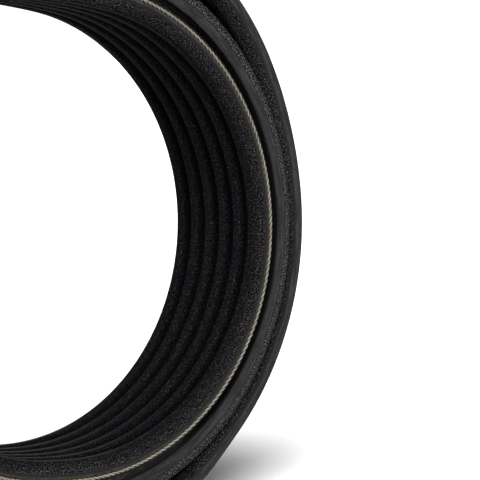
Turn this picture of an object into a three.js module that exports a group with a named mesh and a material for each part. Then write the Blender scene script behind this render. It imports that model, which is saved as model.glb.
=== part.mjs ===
// A six-rib serpentine belt, folded into a standing coil of three layers.
// The belt is one endless strip. Its inner layer has the ribs facing the axis, its middle
// layer has them facing outwards, and its outer layer has them facing the axis again.
// Two folds join the layers, and the inner layer climbs past them to become the outer one.
// Millimetres and degrees, +Z up, the coil's axis along Y, the edge with the bare cord at -Y.

import * as THREE from 'three';
import { LoftGeometry } from 'three/addons/geometries/LoftGeometry.js';
import { mergeVertices } from 'three/addons/utils/BufferGeometryUtils.js';

// Section of the belt
const ribCount = 6;
const ribPitch = 3.56;
const ribHeight = 2.4;
const ribFlankAngle = 20;
const grooveFloorWidth = 0.2;
const bandThickness = 1.7;
const cordDepth = 0.9;

// Inner turn of the coil, measured at the cords: a slightly squashed circle
const coilLongRadius = 41;
const coilShortRadius = 39;
const coilTilt = -15.8;

// How the layers lie against each other
const backGap = 1.1;
const tipGap = 0.2;
const middleSetBack = 0.4;
const outerSetBack = 2.6;
const outerLift = 2.8;
const liftStartAngle = 2;
const liftEndAngle = 68;

// Fold with the ribs inside its bend, from the outer layer to the middle one
const ribFoldRadius = 8;
const ribFoldAngle = 115;
const ribFoldFlare = 34;
const ribFoldLeadIn = 24;

// Fold with the back inside its bend, from the middle layer to the inner one
const backFoldRadius = 7.5;
const backFoldAngle = -185;
const backFoldFlare = 47;
const backFoldLeadOut = 39;

// Climb from the inner layer to the outer one, between the two folds
const climbMargin = 3;
const blendReach = 0.36;

// Flat spot that the coil stands on, below its centre of mass
const flatSpotLength = 18;
const flatSpotX = 2.3;
const flatSpotLead = 32;

// Tension cord that shows along the near edge of the inner layer
const edgeCordWidth = 0.6;
const edgeCordProud = 0.26;
const edgeCordTaper = 6;
const edgeCordTip = 0.3;

// Fineness of the facets
const layerStep = 6;
const foldStep = 15;
const flatSteps = 4;
const leadSteps = 6;
const cordStep = 4;
const cordSides = 4;

const fullTurn = 360;
const radians = THREE.MathUtils.degToRad;
const degrees = THREE.MathUtils.radToDeg;
const smooth = ( t ) => THREE.MathUtils.smootherstep( t, 0, 1 );

const beltWidth = ribCount * ribPitch;
const rootHeight = cordDepth - bandThickness;
const tipHeight = rootHeight - ribHeight;
const middleOffset = 2 * cordDepth + backGap;
const outerOffset = middleOffset - 2 * tipHeight + tipGap;

// Distance from the coil's axis to the lowest cord of the outer layer
const restDrop = outerOffset + Math.hypot(
	coilLongRadius * Math.sin( radians( coilTilt ) ),
	coilShortRadius * Math.cos( radians( coilTilt ) )
);

// Radius of the inner layer at an angle about the axis
function innerRadius( angle ) {

	const turned = radians( angle - coilTilt );
	const long = coilLongRadius * Math.sin( turned );
	const short = coilShortRadius * Math.cos( turned );
	return coilLongRadius * coilShortRadius / Math.hypot( long, short );

}

// The outer layer lifts off the middle one near the top
function liftedOffset( angle ) {

	return outerOffset + outerLift * smooth( ( angle - liftStartAngle ) / ( liftEndAngle - liftStartAngle ) );

}

// A stretch of belt that runs round the axis, seen along +Y: x to the right and z up
class LayerCurve extends THREE.Curve {

	constructor( fromAngle, toAngle, offset ) {

		super();
		this.fromAngle = fromAngle;
		this.toAngle = toAngle;
		this.offset = offset;

	}

	getPoint( t, target = new THREE.Vector2() ) {

		const angle = THREE.MathUtils.lerp( this.fromAngle, this.toAngle, t );
		const radius = innerRadius( angle ) + this.offset( angle );
		return target.set( Math.cos( radians( angle ) ), Math.sin( radians( angle ) ) ).multiplyScalar( radius );

	}

}

// A round fold whose circle touches the middle layer from the side given by its centre
function foldCurve( angle, centreOffset, radius, fromAngle, toAngle, clockwise ) {

	const reach = innerRadius( angle ) + centreOffset;
	const x = reach * Math.cos( radians( angle ) );
	const z = reach * Math.sin( radians( angle ) );
	return new THREE.EllipseCurve( x, z, radius, radius, radians( fromAngle ), radians( toAngle ), clockwise );

}

// A smooth lead from the end of one curve to the start of the next
function leadCurve( before, after ) {

	const start = before.getPoint( 1 );
	const end = after.getPoint( 0 );
	const handle = blendReach * start.distanceTo( end );
	return new THREE.CubicBezierCurve(
		start,
		start.clone().addScaledVector( before.getTangent( 1 ), handle ),
		end.clone().addScaledVector( after.getTangent( 0 ), - handle ),
		end
	);

}

// The endless route of the belt's cord line, as stretches in the order in which it runs
function beltRoute() {

	const climbStart = ribFoldAngle + climbMargin;
	const climbEnd = backFoldAngle - climbMargin + fullTurn;
	const climbOffset = ( angle ) => outerOffset * smooth( ( angle - climbStart ) / ( climbEnd - climbStart ) );

	const flatStart = new THREE.Vector2( flatSpotX - flatSpotLength / 2, - restDrop );
	const flatEnd = new THREE.Vector2( flatSpotX + flatSpotLength / 2, - restDrop );
	const flat = new THREE.LineCurve( flatStart, flatEnd );
	const sinkEnd = degrees( Math.atan2( flatStart.y, flatStart.x ) ) - flatSpotLead;
	const riseStart = degrees( Math.atan2( flatEnd.y, flatEnd.x ) ) + flatSpotLead;

	const sinking = new LayerCurve( climbEnd - fullTurn, sinkEnd, () => outerOffset );
	const rising = new LayerCurve( riseStart, ribFoldAngle - ribFoldLeadIn, liftedOffset );
	const middle = new LayerCurve( ribFoldAngle, backFoldAngle, () => middleOffset );
	const inner = new LayerCurve( backFoldAngle + backFoldLeadOut, climbStart, () => 0 );
	const climb = new LayerCurve( climbStart, climbEnd, climbOffset );
	const ribFold = foldCurve(
		ribFoldAngle, middleOffset + ribFoldRadius, ribFoldRadius,
		ribFoldAngle - ribFoldFlare, ribFoldAngle + fullTurn / 2, false
	);
	const backFold = foldCurve(
		backFoldAngle, middleOffset - backFoldRadius, backFoldRadius,
		backFoldAngle, backFoldAngle - fullTurn / 2 - backFoldFlare, true
	);

	const layerSteps = ( curve ) => Math.ceil( Math.abs( curve.toAngle - curve.fromAngle ) / layerStep );
	const foldSteps = ( flare ) => Math.ceil( ( fullTurn / 2 + flare ) / foldStep );
	const outerRun = [ outerSetBack, outerSetBack ];

	return {
		inner,
		stretches: [
			{ curve: sinking, steps: layerSteps( sinking ), setBack: outerRun },
			{ curve: leadCurve( sinking, flat ), steps: leadSteps, setBack: outerRun },
			{ curve: flat, steps: flatSteps, setBack: outerRun },
			{ curve: leadCurve( flat, rising ), steps: leadSteps, setBack: outerRun },
			{ curve: rising, steps: layerSteps( rising ), setBack: outerRun },
			{ curve: leadCurve( rising, ribFold ), steps: leadSteps, setBack: outerRun },
			{ curve: ribFold, steps: foldSteps( ribFoldFlare ), setBack: [ outerSetBack, middleSetBack ] },
			{ curve: middle, steps: layerSteps( middle ), setBack: [ middleSetBack, middleSetBack ] },
			{ curve: backFold, steps: foldSteps( backFoldFlare ), setBack: [ middleSetBack, 0 ] },
			{ curve: leadCurve( backFold, inner ), steps: leadSteps, setBack: [ 0, 0 ] },
			{ curve: inner, steps: layerSteps( inner ), setBack: [ 0, 0 ] },
			{ curve: climb, steps: layerSteps( climb ), setBack: [ 0, outerSetBack ] }
		]
	};

}

// Outline of the belt across its width: x is the height from the cord line towards the
// back, and y runs from the near edge to the far one
function beltSection() {

	const flankRun = ribHeight * Math.tan( radians( ribFlankAngle ) );
	const halfFloor = grooveFloorWidth / 2;
	const outline = [ new THREE.Vector2( cordDepth, 0 ), new THREE.Vector2( cordDepth, beltWidth ) ];
	for ( let rib = ribCount - 1; rib >= 0; rib -- ) {

		const near = rib * ribPitch;
		const far = near + ribPitch;
		const rootFar = rib === ribCount - 1 ? far : far - halfFloor;
		const rootNear = rib === 0 ? near : near + halfFloor;
		outline.push(
			new THREE.Vector2( rootHeight, rootFar ),
			new THREE.Vector2( tipHeight, far - halfFloor - flankRun ),
			new THREE.Vector2( tipHeight, near + halfFloor + flankRun ),
			new THREE.Vector2( rootHeight, rootNear )
		);

	}

	return outline;

}

// Sets an outline square to the route: the back is always on the right of the way it runs
function placeSection( outline, point, tangent, setBack ) {

	return outline.map( ( corner ) => new THREE.Vector3(
		point.x + corner.x * tangent.y,
		setBack + corner.y,
		point.y - corner.x * tangent.x
	) );

}

// Drops what keeps shared corners apart, then joins them into one closed skin
function closedSolid( loft ) {

	const geometry = new THREE.BufferGeometry().copy( loft );
	geometry.deleteAttribute( 'normal' );
	geometry.deleteAttribute( 'uv' );
	const solid = mergeVertices( geometry );
	solid.computeVertexNormals();
	return solid;

}

function beltGeometry( stretches ) {

	const outline = beltSection();
	const sections = stretches.flatMap( ( { curve, steps, setBack } ) =>
		Array.from( { length: steps }, ( _, step ) => {

			const t = step / steps;
			const aside = THREE.MathUtils.lerp( setBack[ 0 ], setBack[ 1 ], smooth( t ) );
			return placeSection( outline, curve.getPoint( t ), curve.getTangent( t ), aside );

		} ) );
	sections.push( sections[ 0 ].map( ( corner ) => corner.clone() ) );
	return closedSolid( new LoftGeometry( sections ) );

}

// The bare cord is half round, its flat side on the belt's edge, and thins out at both ends
function edgeCordGeometry( inner ) {

	const length = inner.getLength();
	const steps = Math.ceil( ( inner.toAngle - inner.fromAngle ) / cordStep );
	const sections = [];
	for ( let step = 0; step <= steps; step ++ ) {

		const t = step / steps;
		const fromEnd = Math.min( t, 1 - t ) * length;
		const size = THREE.MathUtils.lerp( edgeCordTip, 1, smooth( fromEnd / edgeCordTaper ) );
		const outline = [];
		for ( let side = 0; side <= cordSides; side ++ ) {

			const around = Math.PI * side / cordSides;
			outline.push( new THREE.Vector2(
				- size * edgeCordWidth / 2 * Math.cos( around ),
				- size * edgeCordProud * Math.sin( around )
			) );

		}

		sections.push( placeSection( outline, inner.getPointAt( t ), inner.getTangentAt( t ), 0 ) );

	}

	return closedSolid( new LoftGeometry( sections, { capStart: true, capEnd: true } ) );

}

function namedMesh( name, geometry, material ) {

	const mesh = new THREE.Mesh( geometry, new THREE.MeshStandardMaterial( material ) );
	mesh.name = name;
	return mesh;

}

const { inner, stretches } = beltRoute();
const coil = new THREE.Group();
coil.add( namedMesh( 'belt_body', beltGeometry( stretches ), { color: 0x1b1b1d, roughness: 0.75, metalness: 0 } ) );
coil.add( namedMesh( 'tension_cord', edgeCordGeometry( inner ), { color: 0xd9c7a0, roughness: 0.9, metalness: 0 } ) );

// The origin is on the floor, below the middle of the coil
const reach = new THREE.Box3().setFromObject( coil );
const middle = reach.getCenter( new THREE.Vector3() );
coil.position.set( - middle.x, - middle.y, - reach.min.z );

const group = new THREE.Group();
group.add( coil );

export default group;
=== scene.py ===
import math
import random

import bmesh
import bpy
from mathutils import Matrix, Vector


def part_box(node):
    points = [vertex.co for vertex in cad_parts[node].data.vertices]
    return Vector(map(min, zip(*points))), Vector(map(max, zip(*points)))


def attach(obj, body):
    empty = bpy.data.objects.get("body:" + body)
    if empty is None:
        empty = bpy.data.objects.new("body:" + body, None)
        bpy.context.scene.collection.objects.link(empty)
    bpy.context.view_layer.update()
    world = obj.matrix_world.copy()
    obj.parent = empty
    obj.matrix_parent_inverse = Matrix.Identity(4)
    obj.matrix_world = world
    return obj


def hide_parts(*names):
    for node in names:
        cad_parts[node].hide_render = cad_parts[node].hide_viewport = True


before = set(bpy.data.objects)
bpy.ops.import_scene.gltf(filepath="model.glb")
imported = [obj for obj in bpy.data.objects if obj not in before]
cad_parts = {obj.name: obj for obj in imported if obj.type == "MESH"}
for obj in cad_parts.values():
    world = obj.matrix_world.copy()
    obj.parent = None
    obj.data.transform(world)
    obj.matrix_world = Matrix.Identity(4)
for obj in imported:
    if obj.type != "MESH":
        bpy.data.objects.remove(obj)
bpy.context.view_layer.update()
print("frame loaded:", ", ".join(sorted(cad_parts)))

fullTurn = 360.0
mergeGap = 1e-7    # vertices this close become one
edgeGap = 1e-6     # points this close to the belt's near edge lie on it
gridHalf = 0.5     # half the size of a grid before it is rolled up


# Camera, at the photo's angle

cameraSet = {
    "place": (-0.21785, -0.27209, 0.07838),
    "azimuth": -44.0,     # degrees, 0 looks along +Y
    "elevation": 5.0,
    "lens": 161.3,
    "sensor": 36.0,
    "clip": (0.01, 100.0),
}


def makeCamera(values):
    azimuth, elevation = math.radians(values["azimuth"]), math.radians(values["elevation"])
    level = math.cos(elevation)
    forward = Vector((-math.sin(azimuth) * level, math.cos(azimuth) * level, -math.sin(elevation)))
    data = bpy.data.cameras.new("photoCamera")
    data.lens, data.sensor_width = values["lens"], values["sensor"]
    data.clip_start, data.clip_end = values["clip"]
    camera = bpy.data.objects.new("photoCamera", data)
    camera.location = values["place"]
    camera.rotation_euler = forward.to_track_quat("-Z", "Y").to_euler()
    bpy.context.collection.objects.link(camera)
    bpy.context.scene.camera = camera


makeCamera(cameraSet)
print("camera placed")


# Route of the belt's cord line in the coil's own plane: x to the right, z up, axis at the origin

coil = {
    "longRadius": 0.041,      # inner layer, measured at the cords
    "shortRadius": 0.039,
    "tilt": -15.8,
    # how far the coil bulges on its left, at these angles
    "fullness": ((78.0, 0.0), (128.0, 0.0036), (225.0, 0.0022), (272.0, 0.0)),
    "middleOffset": 0.0029,   # from the inner layer's cords to the middle layer's
    "outerOffset": 0.0095,
    "middleSetBack": 0.0004,  # behind the inner layer's near edge
    "outerSetBack": 0.0026,
    "outerLift": 0.0028,      # the outer layer stands off near the top
    "liftStart": 2.0,
    "liftEnd": 68.0,
    "leadReach": 0.36,        # handles of the curves between two runs, as a share of the gap
    "stationGap": 0.0011,
}

folds = {
    "ribRadius": 0.008,       # fold with the ribs inside
    "ribAngle": 115.0,
    "ribFlare": 34.0,
    "ribLeadIn": 24.0,
    "backRadius": 0.0075,     # fold with the back inside
    "backAngle": -185.0,
    "backFlare": 47.0,
    "backLeadOut": 39.0,
    "climbMargin": 3.0,
}

flatSpot = {"length": 0.018, "x": 0.0023, "lead": 32.0}


def smooth(t):
    t = min(max(t, 0.0), 1.0)
    return t * t * t * (t * (t * 6 - 15) + 10)


def mix(a, b, t):
    return a + (b - a) * t


def fullness(angle):
    steps = coil["fullness"]
    for (start, before), (end, after) in zip(steps, steps[1:]):
        if start <= angle % fullTurn < end:
            return mix(before, after, smooth((angle % fullTurn - start) / (end - start)))
    return 0.0


def innerRadius(angle):
    turned = math.radians(angle - coil["tilt"])
    across = coil["longRadius"] * math.sin(turned)
    along = coil["shortRadius"] * math.cos(turned)
    return coil["longRadius"] * coil["shortRadius"] / math.hypot(across, along) + fullness(angle)


def polar(radius, angle):
    return Vector((math.cos(math.radians(angle)), math.sin(math.radians(angle)))) * radius


def layerRun(fromAngle, toAngle, offset):
    def run(t):
        angle = mix(fromAngle, toAngle, t)
        return polar(innerRadius(angle) + offset(angle), angle)
    return run


def foldRun(angle, centreOffset, radius, fromAngle, toAngle):
    centre = polar(innerRadius(angle) + centreOffset, angle)
    return lambda t: centre + polar(radius, mix(fromAngle, toAngle, t))


def heading(run, t):
    step = 1e-4
    return (run(min(t + step, 1.0)) - run(max(t - step, 0.0))).normalized()


def leadRun(before, after):  # a smooth curve from the end of one run to the start of the next
    start, end = before(1.0), after(0.0)
    handle = coil["leadReach"] * (end - start).length
    points = (start, start + heading(before, 1.0) * handle, end - heading(after, 0.0) * handle, end)
    weights = (1, 3, 3, 1)

    def run(t):
        shares = (w * (1 - t) ** (3 - k) * t ** k for k, w in enumerate(weights))
        return sum((p * share for p, share in zip(points, shares)), Vector((0.0, 0.0)))
    return run


def liftedOffset(angle):
    rise = (angle - coil["liftStart"]) / (coil["liftEnd"] - coil["liftStart"])
    return coil["outerOffset"] + coil["outerLift"] * smooth(rise)


def beltRuns():  # the endless route, in the order in which it runs
    climbStart = folds["ribAngle"] + folds["climbMargin"]
    climbEnd = folds["backAngle"] - folds["climbMargin"] + fullTurn

    def climbOffset(angle):
        return coil["outerOffset"] * smooth((angle - climbStart) / (climbEnd - climbStart))

    slope = math.radians(coil["tilt"])
    drop = coil["outerOffset"] + math.hypot(
        coil["longRadius"] * math.sin(slope), coil["shortRadius"] * math.cos(slope))
    flatStart = Vector((flatSpot["x"] - flatSpot["length"] / 2, -drop))
    flatEnd = Vector((flatSpot["x"] + flatSpot["length"] / 2, -drop))
    sinkEnd = math.degrees(math.atan2(flatStart.y, flatStart.x)) - flatSpot["lead"]
    riseStart = math.degrees(math.atan2(flatEnd.y, flatEnd.x)) + flatSpot["lead"]

    def flat(t):
        return flatStart.lerp(flatEnd, t)

    sinking = layerRun(climbEnd - fullTurn, sinkEnd, lambda a: coil["outerOffset"])
    rising = layerRun(riseStart, folds["ribAngle"] - folds["ribLeadIn"], liftedOffset)
    ribFold = foldRun(
        folds["ribAngle"], coil["middleOffset"] + folds["ribRadius"], folds["ribRadius"],
        folds["ribAngle"] - folds["ribFlare"], folds["ribAngle"] + fullTurn / 2)
    middle = layerRun(folds["ribAngle"], folds["backAngle"], lambda a: coil["middleOffset"])
    backFold = foldRun(
        folds["backAngle"], coil["middleOffset"] - folds["backRadius"], folds["backRadius"],
        folds["backAngle"], folds["backAngle"] - fullTurn / 2 - folds["backFlare"])
    inner = layerRun(folds["backAngle"] + folds["backLeadOut"], climbStart, lambda a: 0.0)
    climb = layerRun(climbStart, climbEnd, climbOffset)

    # each run with its set-back at its start and at its end
    back, mid = coil["outerSetBack"], coil["middleSetBack"]
    runs = [
        (backFold, mid, 0.0), (leadRun(backFold, inner), 0.0, 0.0), (inner, 0.0, 0.0),
        (climb, 0.0, back), (sinking, back, back), (leadRun(sinking, flat), back, back),
        (flat, back, back), (leadRun(flat, rising), back, back), (rising, back, back),
        (leadRun(rising, ribFold), back, back), (ribFold, back, mid), (middle, mid, mid),
    ]
    return runs, inner, drop


def runLength(run, pieces=200):
    spots = [run(k / pieces) for k in range(pieces + 1)]
    return sum((b - a).length for a, b in zip(spots, spots[1:]))


beltRunList, innerRun, coilDrop = beltRuns()


# Section of the belt: x is the height from the cords towards the back, y runs across from the near edge

belt = {
    "ribCount": 6,
    "ribPitch": 0.00356,
    "ribHeight": 0.0024,
    "flankAngle": 20.0,
    "grooveFloor": 0.0002,
    "bandThickness": 0.0017,
    "cordDepth": 0.0009,
    "tipRound": 0.00034,
    "grooveRound": 0.00009,
    "backRound": 0.00014,
    "roundSegments": 3,
    "longestFacet": 0.0013,   # across the section
    "cordBed": 0.0003,        # depth of the groove that the bare cord lies in
    "cordBedHalf": 0.00034,
    "cordBedCorner": 0.6,     # where the groove's floor has its corners, as a share of its half width
    "cordBedFade": 0.006,
    "wornDepth": 0.00045,     # how far the cover over the bare cord has worn back at the belt's back
    "wornAtCord": 0.4,        # share of that depth beside the cord
    "wornMargin": 0.001,      # the lip of the cord's groove still counts as worn
    "paintedLightReach": 8,           # stations each way over which a bend is measured
    "paintedLightRadius": 0.042,      # a bend this tight gives the ribs outside it the full painted light
}

beltWidth = belt["ribCount"] * belt["ribPitch"]
rootHeight = belt["cordDepth"] - belt["bandThickness"]
tipHeight = rootHeight - belt["ribHeight"]
flankWidth = belt["ribHeight"] * math.tan(math.radians(belt["flankAngle"]))


def beltOutline():  # (kind, height, across) of each corner, in order round the section
    half = belt["grooveFloor"] / 2
    corners = [("back", belt["cordDepth"], 0.0), ("back", belt["cordDepth"], beltWidth)]
    for rib in reversed(range(belt["ribCount"])):
        near, far = rib * belt["ribPitch"], (rib + 1) * belt["ribPitch"]
        last, first = rib == belt["ribCount"] - 1, rib == 0
        corners += [
            ("root" if last else "groove", rootHeight, far if last else far - half),
            ("tip", tipHeight, far - half - flankWidth),
            ("tip", tipHeight, near + half + flankWidth),
            ("root" if first else "groove", rootHeight, near if first else near + half),
        ]
    bedHalf = belt["cordBedHalf"]
    bedCorner = bedHalf * belt["cordBedCorner"]
    corners += [("lip", -bedHalf, 0.0), ("bed", -bedCorner, 0.0), ("bed", 0.0, 0.0)]
    corners += [("bed", bedCorner, 0.0), ("lip", bedHalf, 0.0)]
    return corners


def sectionRing():  # the rounded outline as (height, across) points, in order from the far back corner
    rounds = {"back": belt["backRound"], "tip": belt["tipRound"], "groove": belt["grooveRound"]}
    mesh = bmesh.new()
    corners = beltOutline()
    verts = [mesh.verts.new((height, across, 0.0)) for _, height, across in corners]
    mesh.faces.new(verts)
    for kind, radius in rounds.items():
        sharp = [v for v, corner in zip(verts, corners) if corner[0] == kind]
        bmesh.ops.bevel(
            mesh, geom=sharp, offset=radius, offset_type="OFFSET", segments=belt["roundSegments"],
            profile=0.5, affect="VERTICES", material=-1, clamp_overlap=True)
    bmesh.ops.delete(mesh, geom=mesh.faces[:], context="FACES_ONLY")
    for edge in mesh.edges[:]:
        cuts = int(edge.calc_length() / belt["longestFacet"])
        if cuts:
            bmesh.ops.subdivide_edges(mesh, edges=[edge], cuts=cuts)
    order = [max(mesh.verts, key=lambda v: (v.co.x, v.co.y))]
    edge = order[0].link_edges[0]
    while len(order) < len(mesh.verts):
        order.append(edge.other_vert(order[-1]))
        edge = next(e for e in order[-1].link_edges if e != edge)
    ring = [v.co.xy.copy() for v in order]
    mesh.free()
    return ring


def beltStations():  # place, heading, set-back, length run so far, and how bare the cord lies
    stations, run = [], 0.0
    for piece, setBackFrom, setBackTo in beltRunList:
        length = runLength(piece)
        count = math.ceil(length / coil["stationGap"])
        for k in range(count):
            t = k / count
            bare = smooth(min(t, 1 - t) * length / belt["cordBedFade"]) if piece is innerRun else 0.0
            setBack = mix(setBackFrom, setBackTo, smooth(t))
            stations.append((piece(t), heading(piece, t), setBack, run + t * length, bare))
        run += length
    return stations, run


def stationFrame(place, way, setBack):  # the back is always on the right of the way it runs
    return Matrix((
        (way.y, 0.0, way.x, place.x),
        (0.0, 1.0, 0.0, setBack),
        (-way.x, 0.0, way.y, place.y),
        (0.0, 0.0, 0.0, 1.0),
    ))


def paintedLightByBend(ways):  # share of painted light: 1 where the ribs lie outside a bend, 0 inside it and one half on the straight
    paintedLightShares, reach = [], belt["paintedLightReach"]
    fullTurning = 2 * reach * coil["stationGap"] / belt["paintedLightRadius"]
    for k in range(len(ways)):
        before, after = ways[k - reach], ways[(k + reach) % len(ways)]
        turning = math.atan2(before.cross(after), before.dot(after))
        paintedLightShares.append(0.5 - 0.5 * min(max(turning / fullTurning, -1.0), 1.0))
    return paintedLightShares


def gridSpot(vert, columns, rows):  # the column and the row in which a grid's vertex stands
    return round((vert.co.x + gridHalf) * columns), round((vert.co.y + gridHalf) * rows)


def wornBack(point, bare):  # how far the edge lies back at a point, and whether it is worn there
    sunk, isWorn = 0.0, False
    if abs(point.x) < belt["cordBedHalf"] and point.y < edgeGap:
        sunk = bare * belt["cordBed"] * math.sqrt(1 - (point.x / belt["cordBedHalf"]) ** 2)
    overCord = (point.x - belt["cordBedHalf"]) / (belt["cordDepth"] - belt["cordBedHalf"])
    if overCord > -belt["wornMargin"] and point.y < belt["backRound"] * 2:
        sunk, isWorn = bare * belt["wornDepth"] * min(1.0, belt["wornAtCord"] + overCord), True
    return sunk, isWorn


def sweepBelt():  # a grid of stations by section points, rolled up; the map runs in metres
    ring = sectionRing()
    stations, total = beltStations()
    places, ways, setBacks, runs, bares = zip(*stations)
    runs += (total,)
    frames = [stationFrame(*spot) for spot in zip(places, ways, setBacks)]
    paintedLightShares = paintedLightByBend(ways)
    girths = [0.0]
    for point, after in zip(ring, ring[1:] + ring[:1]):
        girths.append(girths[-1] + (after - point).length)

    mesh = bmesh.new()
    uv = mesh.loops.layers.uv.new("beltRun")
    height, across, bareness, wornAndShaded, paintedLitShare = (
        mesh.verts.layers.float.new(name) for name in ("height", "across", "bare", "wornAndShaded", "paintedLitShare"))
    count, sides = len(stations), len(ring)
    bmesh.ops.create_grid(mesh, x_segments=count, y_segments=sides, size=gridHalf, calc_uvs=True)
    for vert in mesh.verts:
        station, spot = gridSpot(vert, count, sides)
        for loop in vert.link_loops:
            loop[uv].uv = (runs[station], girths[spot])
        station %= count
        point, bare = ring[spot % sides], bares[station]
        sunk, isWorn = wornBack(point, bare)
        vert[height], vert[across], vert[bareness] = point.x, point.y, bare if sunk else 0.0
        # the worn-back strip carries the painted gap shade; the share outside a bend carries the
        # painted light
        vert[wornAndShaded], vert[paintedLitShare] = bare if isWorn else 0.0, paintedLightShares[station]
        vert.co = frames[station] @ Vector((point.x, point.y + sunk, 0.0))
    bmesh.ops.remove_doubles(mesh, verts=mesh.verts[:], dist=mergeGap)
    bmesh.ops.recalc_face_normals(mesh, faces=mesh.faces[:])
    print("belt swept:", count, "stations,", len(mesh.faces), "faces,", round(total, 4), "m long")
    return mesh, (height, across)


zoneOrder = ("ribs", "cutEdge", "back", "flanks")  # the flanks are those at the belt's two edges


def paintZones(mesh, layers):
    height, across = layers
    flankReach = belt["grooveFloor"] / 2 + flankWidth
    for face in mesh.faces:
        face.smooth = True
        middle = sum(v[height] for v in face.verts) / len(face.verts)
        side = sum(min(v[across], beltWidth - v[across]) for v in face.verts) / len(face.verts)
        if middle > belt["cordDepth"] - belt["backRound"] / 4:
            zone = "back"
        elif middle > rootHeight and side < belt["backRound"]:
            zone = "cutEdge"
        else:
            zone = "flanks" if side < flankReach else "ribs"
        face.material_index = zoneOrder.index(zone)


def pieceFrom(mesh, name, materials, replaced):
    data = bpy.data.meshes.new(name)
    mesh.to_mesh(data)
    mesh.free()
    piece = bpy.data.objects.new(name, data)
    bpy.context.collection.objects.link(piece)
    for material in materials:
        data.materials.append(material)
    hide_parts(replaced)
    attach(piece, "root")


# Materials

softNoise = (1.0, 0.5)      # detail and roughness of the noises
plainNoise = (2.0, 0.5)
grainyNoise = (2.0, 0.6)
streakyNoise = (3.0, 0.6)
coarseNoise = (3.0, 0.65)

hidden, shown = (0.0, 0.0, 0.0), (1.0, 1.0, 1.0)


def newMaterial(name):
    material = bpy.data.materials.new(name)
    material.use_nodes = True
    tree = material.node_tree
    return material, tree, tree.nodes["Principled BSDF"]


def addNode(tree, kind, inputs=None, **settings):
    node = tree.nodes.new(kind)
    for name, value in settings.items():
        setattr(node, name, value)
    for name, value in (inputs or {}).items():
        node.inputs[name].default_value = value
    return node


def objectPlace(tree):
    return addNode(tree, "ShaderNodeTexCoord").outputs["Object"]


def stretched(tree, scale, uvMap="beltRun"):  # the piece's own map, scaled along and round it
    uv = addNode(tree, "ShaderNodeUVMap", uv_map=uvMap)
    mapping = addNode(tree, "ShaderNodeMapping", {"Scale": (scale[0], scale[1], 1.0)})
    tree.links.new(uv.outputs["UV"], mapping.inputs["Vector"])
    return mapping.outputs["Vector"]


def attribute(tree, name):
    return addNode(tree, "ShaderNodeAttribute", attribute_name=name).outputs["Fac"]


def between(tree, value, source, target):  # a value carried from one range to another, kept within it
    node = addNode(tree, "ShaderNodeMapRange", {
        "From Min": source[0], "From Max": source[1], "To Min": target[0], "To Max": target[1]})
    tree.links.new(value, node.inputs["Value"])
    return node.outputs["Result"]


def noiseFrom(tree, vector, kind, scale=1.0):
    detail, roughness = kind
    noise = addNode(tree, "ShaderNodeTexNoise", {
        "Scale": scale, "Detail": detail, "Roughness": roughness})
    tree.links.new(vector, noise.inputs["Vector"])
    return noise.outputs["Fac"]


def ramp(tree, factor, stops, colours):
    node = addNode(tree, "ShaderNodeValToRGB")
    elements = node.color_ramp.elements
    while len(elements) < len(stops):
        elements.new(0.5)
    for element, position, colour in zip(elements, stops, colours):
        element.position = position
        element.color = (*colour, 1.0)
    tree.links.new(factor, node.inputs["Fac"])
    return node.outputs["Color"]


def mixColour(tree, factor, first, second, blend="MIX"):
    node = addNode(tree, "ShaderNodeMix", data_type="RGBA", blend_type=blend)
    sockets = (node.inputs["Factor"], node.inputs[6], node.inputs[7])  # 6 and 7 take the two colours
    for socket, value in zip(sockets, (factor, first, second)):
        if hasattr(value, "is_output"):
            tree.links.new(value, socket)
        else:
            socket.default_value = value if isinstance(value, float) else (*value, 1.0)
    return node.outputs[2]


def multiplied(tree, first, second):
    return mixColour(tree, 1.0, first, second, "MULTIPLY")


def finishShader(tree, shader, values, colour, height):  # colour, gloss and bump
    tree.links.new(colour, shader.inputs["Base Color"])
    shader.inputs["Roughness"].default_value = values["roughness"]
    shader.inputs["Specular IOR Level"].default_value = values["specular"]
    bump = addNode(tree, "ShaderNodeBump", {
        "Distance": values["bump"], "Strength": values["bumpStrength"]})
    tree.links.new(height, bump.inputs["Height"])
    tree.links.new(bump.outputs["Normal"], shader.inputs["Normal"])


ribRubber = {
    "name": "groundRibRubber",
    "black": (0.0007, 0.0007, 0.0009),
    "blue": (0.0006, 0.0007, 0.0014),
    "umber": (0.0012, 0.0009, 0.0007),
    "tintStops": (0.38, 0.5, 0.64),
    "fibre": (0.0168, 0.0162, 0.0182),
    "paintedLitBlack": (0.0021, 0.0021, 0.0023),   # painted light: lighter rubber where the ribs lie outside a bend
    "paintedLitFibre": (0.041, 0.04, 0.0395),
    "cool": (0.76, 0.79, 0.9),               # tints of the fibre, in patches
    "warm": (1.27, 1.22, 1.13),
    "patchStops": (0.38, 0.62),
    "tintScale": 900.0,
    "strip": (0.0007, 0.0007, 0.0009),
    "atTip": 1.12,                           # painted groove shade: the grooves are darker than the tips
    "atRoot": 0.24,
    "shadeDepth": 0.0009,                    # below the tip, where the groove's own shade is reached
    "fibreAcross": (4300.0, 2200.0),         # per metre along and round the belt
    "fibreTilted": (3000.0, 4500.0),
    "tiltedShare": 0.45,
    "fibreStops": (0.5, 0.66),
    "roughness": 0.8,
    "specular": 0.02,
    "bump": 0.00014,
    "bumpStrength": 1.0,
}

flankRubber = dict(
    ribRubber, name="groundFlankRubber",
    black=(0.0019, 0.0019, 0.0021), fibre=(0.0455, 0.0447, 0.0458), paintedLitBlack=(0.0022, 0.0022, 0.0022),
    paintedLitFibre=(0.152, 0.147, 0.143), cool=(0.82, 0.84, 0.94), warm=(1.18, 1.14, 1.08),
    strip=(0.0085, 0.0085, 0.0089), atTip=0.45, atRoot=1.35, shadeDepth=belt["ribHeight"],
    fibreAcross=(5500.0, 2750.0), fibreTilted=(3950.0, 5800.0), fibreStops=(0.518, 0.64), bump=0.0002)

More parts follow.
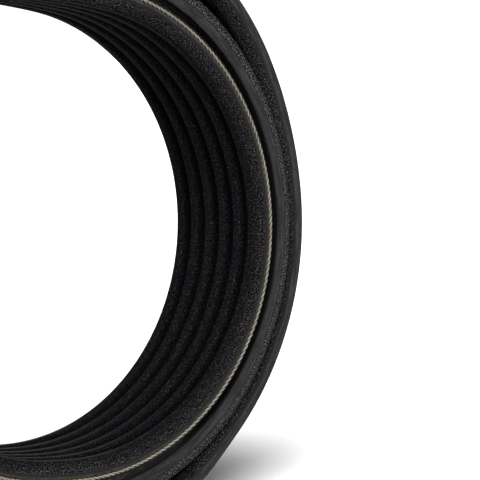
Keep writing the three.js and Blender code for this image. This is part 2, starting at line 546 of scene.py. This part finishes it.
smoothStrip = {  # along the belt's two edges, where the flank was cut and not ground
    "full": -0.001,       # heights between which it fades in
    "none": -0.0014,
    "waver": 0.0008,      # how far its border strays
    "waverScale": (90.0, 1.0),
}


def stripShare(tree, height):  # 1 on the smooth strip, 0 on the ground flank, with a wavering border
    waver = noiseFrom(tree, stretched(tree, smoothStrip["waverScale"]), streakyNoise)
    strayed = addNode(tree, "ShaderNodeMath", {1: smoothStrip["waver"]}, operation="MULTIPLY_ADD")
    tree.links.new(waver, strayed.inputs[0])
    tree.links.new(height, strayed.inputs[2])
    middle = smoothStrip["waver"] / 2
    fade = (smoothStrip["none"] + middle, smoothStrip["full"] + middle)
    return between(tree, strayed.outputs[0], fade, (0.0, 1.0))


def makeRibRubber(values):  # ground rubber full of chopped fibre
    material, tree, shader = newMaterial(values["name"])
    across = noiseFrom(tree, stretched(tree, values["fibreAcross"]), grainyNoise)
    tilted = noiseFrom(tree, stretched(tree, values["fibreTilted"]), softNoise)
    fibres = mixColour(tree, values["tiltedShare"], across, tilted)
    mottling = noiseFrom(tree, objectPlace(tree), plainNoise, values["tintScale"])
    tint = ramp(tree, mottling, values["tintStops"], (values["blue"], values["black"], values["umber"]))
    patches = ramp(tree, mottling, values["patchStops"], (values["cool"], values["warm"]))
    # painted light: the layer whose ribs lie outside its bends, as the middle layer, gets lighter black
    # and fibre
    paintedLitShare = attribute(tree, "paintedLitShare")
    ground = mixColour(tree, paintedLitShare, tint, values["paintedLitBlack"])
    fibre = multiplied(tree, mixColour(tree, paintedLitShare, values["fibre"], values["paintedLitFibre"]), patches)
    speckled = mixColour(tree, ramp(tree, fibres, values["fibreStops"], (hidden, shown)), ground, fibre)

    # painted shade: the ribs darken from the tips into the grooves; the flanks run the other way,
    # darker at the tip
    height = attribute(tree, "height")
    depths = (tipHeight, tipHeight + values["shadeDepth"])
    shade = between(tree, height, depths, (values["atTip"], values["atRoot"]))
    strip = stripShare(tree, height)
    colour = mixColour(tree, strip, multiplied(tree, speckled, shade), values["strip"])
    finishShader(tree, shader, values, colour, fibres)
    return material


edgeRubber = {
    "byBack": (0.0048, 0.0048, 0.0051),
    "byRibs": (0.0095, 0.0095, 0.0099),
    "thinStreak": (0.5, 0.5, 0.51),
    "thickStreak": (1.5, 1.49, 1.48),
    "streakStops": (0.44, 0.56),
    "streakScale": (160.0, 1500.0),       # per metre along and round the belt
    "darkGrain": (0.76, 0.76, 0.82),
    "paleGrain": (1.24, 1.22, 1.16),
    "grainStops": (0.42, 0.58),
    "grainScale": 1900.0,
    "grainShare": 0.35,                   # of the bump, beside the streaks
    "amber": (0.028, 0.018, 0.005),       # stain along the bare cord
    "faintStain": (0.2, 0.2, 0.2),
    "fullStain": (0.8, 0.8, 0.8),
    "stainStops": (0.4, 0.6),
    "paintedGapShade": (0.0008, 0.0008, 0.0008),    # painted shade of the gap between layers, on the strip where the cover over the bare cord lies worn back
    "roughness": 0.65,
    "specular": 0.08,
    "bump": 0.00006,
    "bumpStrength": 0.6,
}


def makeEdgeRubber(values):
    material, tree, shader = newMaterial("cutEdgeRubber")
    streak = noiseFrom(tree, stretched(tree, values["streakScale"]), streakyNoise)
    grain = noiseFrom(tree, objectPlace(tree), grainyNoise, values["grainScale"])
    rise = between(tree, attribute(tree, "height"), (belt["cordDepth"], rootHeight), (0.0, 1.0))
    plain = mixColour(tree, rise, values["byBack"], values["byRibs"])
    streaks = ramp(tree, streak, values["streakStops"], (values["thinStreak"], values["thickStreak"]))
    grains = ramp(tree, grain, values["grainStops"], (values["darkGrain"], values["paleGrain"]))
    worked = multiplied(tree, multiplied(tree, plain, streaks), grains)
    patchy = ramp(tree, grain, values["stainStops"], (values["faintStain"], values["fullStain"]))
    stain = multiplied(tree, attribute(tree, "bare"), patchy)
    stained = mixColour(tree, stain, worked, values["amber"])
    # painted shade: near black over the worn-back strip beside the bare cord
    colour = mixColour(tree, attribute(tree, "wornAndShaded"), stained, values["paintedGapShade"])
    finishShader(tree, shader, values, colour, mixColour(tree, values["grainShare"], streak, grain))
    return material


backRubber = {
    "dark": (0.0013, 0.0013, 0.0015),
    "light": (0.0038, 0.0038, 0.004),
    "stops": (0.35, 0.7),
    "grainScale": 2600.0,
    "drawnScale": (90.0, 2600.0),   # per metre along and round the belt
    "drawnShare": 0.5,
    "roughness": 0.42,
    "specular": 0.2,
    "bump": 0.00004,
    "bumpStrength": 0.7,
}


def makeBackRubber(values):
    material, tree, shader = newMaterial("mouldedBackRubber")
    grain = noiseFrom(tree, objectPlace(tree), coarseNoise, values["grainScale"])
    drawn = noiseFrom(tree, stretched(tree, values["drawnScale"]), plainNoise)
    both = mixColour(tree, values["drawnShare"], grain, drawn)
    colour = ramp(tree, both, values["stops"], (values["dark"], values["light"]))
    finishShader(tree, shader, values, colour, both)
    return material


cordFibre = {
    "paintedValleyShade": (0.041, 0.034, 0.0245),
    "cream": (0.096, 0.0885, 0.073),
    "pale": (0.168, 0.158, 0.138),
    "strandStops": (0.38, 0.6),
    "crownStops": (0.15, 0.75),       # how far out of the valley the strand's own colour replaces the painted valley shade
    "filamentScale": (1500.0, 9.0),   # per metre along the cord, per turn round a ply
    "patchScale": 600.0,
    "patchShare": 0.4,
    "roughness": 0.85,
    "specular": 0.2,
    "bump": 0.00003,
    "bumpStrength": 0.8,
}


def makeCordFibre(values):
    material, tree, shader = newMaterial("cordFibre")
    filaments = noiseFrom(tree, stretched(tree, values["filamentScale"], "cordRun"), grainyNoise)
    patches = noiseFrom(tree, objectPlace(tree), plainNoise, values["patchScale"])
    both = mixColour(tree, values["patchShare"], filaments, patches)
    strand = ramp(tree, both, values["strandStops"], (values["cream"], values["pale"]))
    # painted shade: darker in the valleys between the plies, the strand's own colour on their crowns
    crown = ramp(tree, attribute(tree, "lobe"), values["crownStops"], (hidden, shown))
    finishShader(tree, shader, values, mixColour(tree, crown, values["paintedValleyShade"], strand), filaments)
    return material


# Bare tension cord: two plies twisted together, half sunk in the near edge of the inner layer

cord = {
    "plies": 2,
    "plyRadius": 0.00015,
    "twistRadius": 0.00011,
    "lay": 0.00214,           # length of one whole twist
    "stepsPerLay": 14,
    "sides": 10,
    "sunk": 0.0001,           # how far the cord's centre lies behind the edge
    "tailTaper": 0.006,
    "tailThickness": 0.5,
    "looseFilaments": 90,
    "filamentSpan": (0.03, 0.97),
    "filamentRadius": 0.000016,
    "filamentLength": (0.00025, 0.0006),
    "filamentInward": 0.6,
    "filamentSides": 4,
    "seed": 7,
}


def cordSpot(values, t, length, ply):  # centre of a ply, the two ways across it, its turn and its fade
    place, way = innerRun(t), heading(innerRun, t)
    outward, inward = Vector((way.y, 0.0, -way.x)), Vector((0.0, 1.0, 0.0))
    turn = 2 * math.pi * (t * length / values["lay"] + ply / values["plies"])
    fade = smooth(min(t, 1 - t) * length / values["tailTaper"])
    depth = values["sunk"] + (1 - fade) * values["plyRadius"] * 2
    centre = Vector((place.x, depth, place.y)) + coilShift
    centre += (outward * math.cos(turn) + inward * math.sin(turn)) * values["twistRadius"]
    return centre, outward, inward, turn, fade


def twistCord(values):
    length = runLength(innerRun)
    steps, sides = round(length / values["lay"] * values["stepsPerLay"]), values["sides"]
    mesh = bmesh.new()
    uv, lobe = mesh.loops.layers.uv.new("cordRun"), mesh.verts.layers.float.new("lobe")
    for ply in range(values["plies"]):
        grid = bmesh.ops.create_grid(
            mesh, x_segments=steps, y_segments=sides, size=gridHalf, calc_uvs=True)
        spots = [cordSpot(values, k / steps, length, ply) for k in range(steps + 1)]
        for vert in grid["verts"]:
            step, side = gridSpot(vert, steps, sides)
            centre, outward, inward, turn, fade = spots[step]
            around = 2 * math.pi * side / sides
            for loop in vert.link_loops:
                loop[uv].uv = (step / steps * length, side / sides)
            way = outward * math.cos(around + turn) + inward * math.sin(around + turn)
            vert.co = centre + way * values["plyRadius"] * mix(values["tailThickness"], 1.0, fade)
            vert[lobe] = 0.5 + 0.5 * math.cos(around)
    bmesh.ops.remove_doubles(mesh, verts=mesh.verts[:], dist=mergeGap)
    bmesh.ops.holes_fill(mesh, edges=[e for e in mesh.edges if e.is_boundary])
    addFilaments(mesh, lobe, values, length)
    bmesh.ops.recalc_face_normals(mesh, faces=mesh.faces[:])
    for face in mesh.faces:
        face.smooth = True
    print("cord twisted:", len(mesh.faces), "faces")
    return mesh


def addFilaments(mesh, lobe, values, length):  # short fibre ends that stand off the cord
    chance = random.Random(values["seed"])
    for _ in range(values["looseFilaments"]):
        spot = chance.uniform(*values["filamentSpan"])
        centre, outward, inward, _, _ = cordSpot(values, spot, length, 0)
        way = outward * chance.uniform(-1, 1)
        way -= inward * chance.uniform(0.0, values["filamentInward"])
        way += outward.cross(inward) * chance.uniform(-1, 1)
        reach = chance.uniform(*values["filamentLength"])
        turned = way.to_track_quat("Z", "Y").to_matrix().to_4x4()
        matrix = Matrix.Translation(centre + way.normalized() * reach / 2) @ turned
        hair = bmesh.ops.create_cone(
            mesh, cap_ends=True, segments=values["filamentSides"], radius1=values["filamentRadius"],
            radius2=values["filamentRadius"] / 2, depth=reach, matrix=matrix)
        for vert in hair["verts"]:
            vert[lobe] = 1.0


# The coil's axis stands at the frame's origin plus this shift

beltMesh, beltLayers = sweepBelt()
cadLow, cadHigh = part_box("belt_body")
coilHigh = max(v.co.x for v in beltMesh.verts)
coilShift = Vector((cadHigh.x - coilHigh, cadLow.y, coilDrop + belt["cordDepth"]))
bmesh.ops.translate(beltMesh, vec=coilShift, verts=beltMesh.verts[:])
paintZones(beltMesh, beltLayers)
rubbers = {
    "ribs": makeRibRubber(ribRubber),
    "cutEdge": makeEdgeRubber(edgeRubber),
    "back": makeBackRubber(backRubber),
    "flanks": makeRibRubber(flankRubber),
}
pieceFrom(beltMesh, "ribbedBelt", [rubbers[zone] for zone in zoneOrder], "belt_body")
pieceFrom(twistCord(cord), "twistedCord", [makeCordFibre(cordFibre)], "tension_cord")
print("belt and cord made")


# Pale floor and soft studio light

studio = {
    "floorSize": 40.0,
    "floorColour": (0.9, 0.9, 0.9),
    "floorRoughness": 0.9,
    "skySeen": 1.2,       # strength where the camera sees it, and as light
    "skyLight": 0.02,
}

suns = {
    "keyLight": {"strength": 8.2, "angle": 41.0, "fromWay": (-0.552, -0.497, 0.669)},
    "fillLight": {"strength": 3.4, "angle": 12.0, "fromWay": (0.78, -0.62, 0.03)},
    "backLight": {"strength": 2.0, "angle": 24.0, "fromWay": (0.4, 0.88, 0.15)},
}


def makeFloor(values):
    mesh = bmesh.new()
    bmesh.ops.create_grid(mesh, x_segments=1, y_segments=1, size=values["floorSize"] / 2)
    data = bpy.data.meshes.new("paleFloor")
    mesh.to_mesh(data)
    mesh.free()
    floor = bpy.data.objects.new("paleFloor", data)
    bpy.context.collection.objects.link(floor)
    material, _, shader = newMaterial("paleFloor")
    shader.inputs["Base Color"].default_value = (*values["floorColour"], 1.0)
    shader.inputs["Roughness"].default_value = values["floorRoughness"]
    shader.inputs["Specular IOR Level"].default_value = 0.0
    data.materials.append(material)


def makeSky(values):
    world = bpy.data.worlds.new("studio")
    bpy.context.scene.world = world
    world.use_nodes = True
    tree = world.node_tree
    background = tree.nodes["Background"]
    background.inputs["Color"].default_value = (1.0, 1.0, 1.0, 1.0)
    seen = addNode(tree, "ShaderNodeLightPath").outputs["Is Camera Ray"]
    strength = between(tree, seen, (0.0, 1.0), (values["skyLight"], values["skySeen"]))
    tree.links.new(strength, background.inputs["Strength"])


def makeSoftSun(name, values):
    data = bpy.data.lights.new(name, "SUN")
    data.energy, data.angle = values["strength"], math.radians(values["angle"])
    sun = bpy.data.objects.new(name, data)
    sun.rotation_euler = Vector(values["fromWay"]).to_track_quat("Z", "Y").to_euler()
    bpy.context.collection.objects.link(sun)


makeFloor(studio)
makeSky(studio)
for sunName, sunValues in suns.items():
    makeSoftSun(sunName, sunValues)
bpy.context.scene.view_settings.view_transform = "Standard"
print("studio lit")
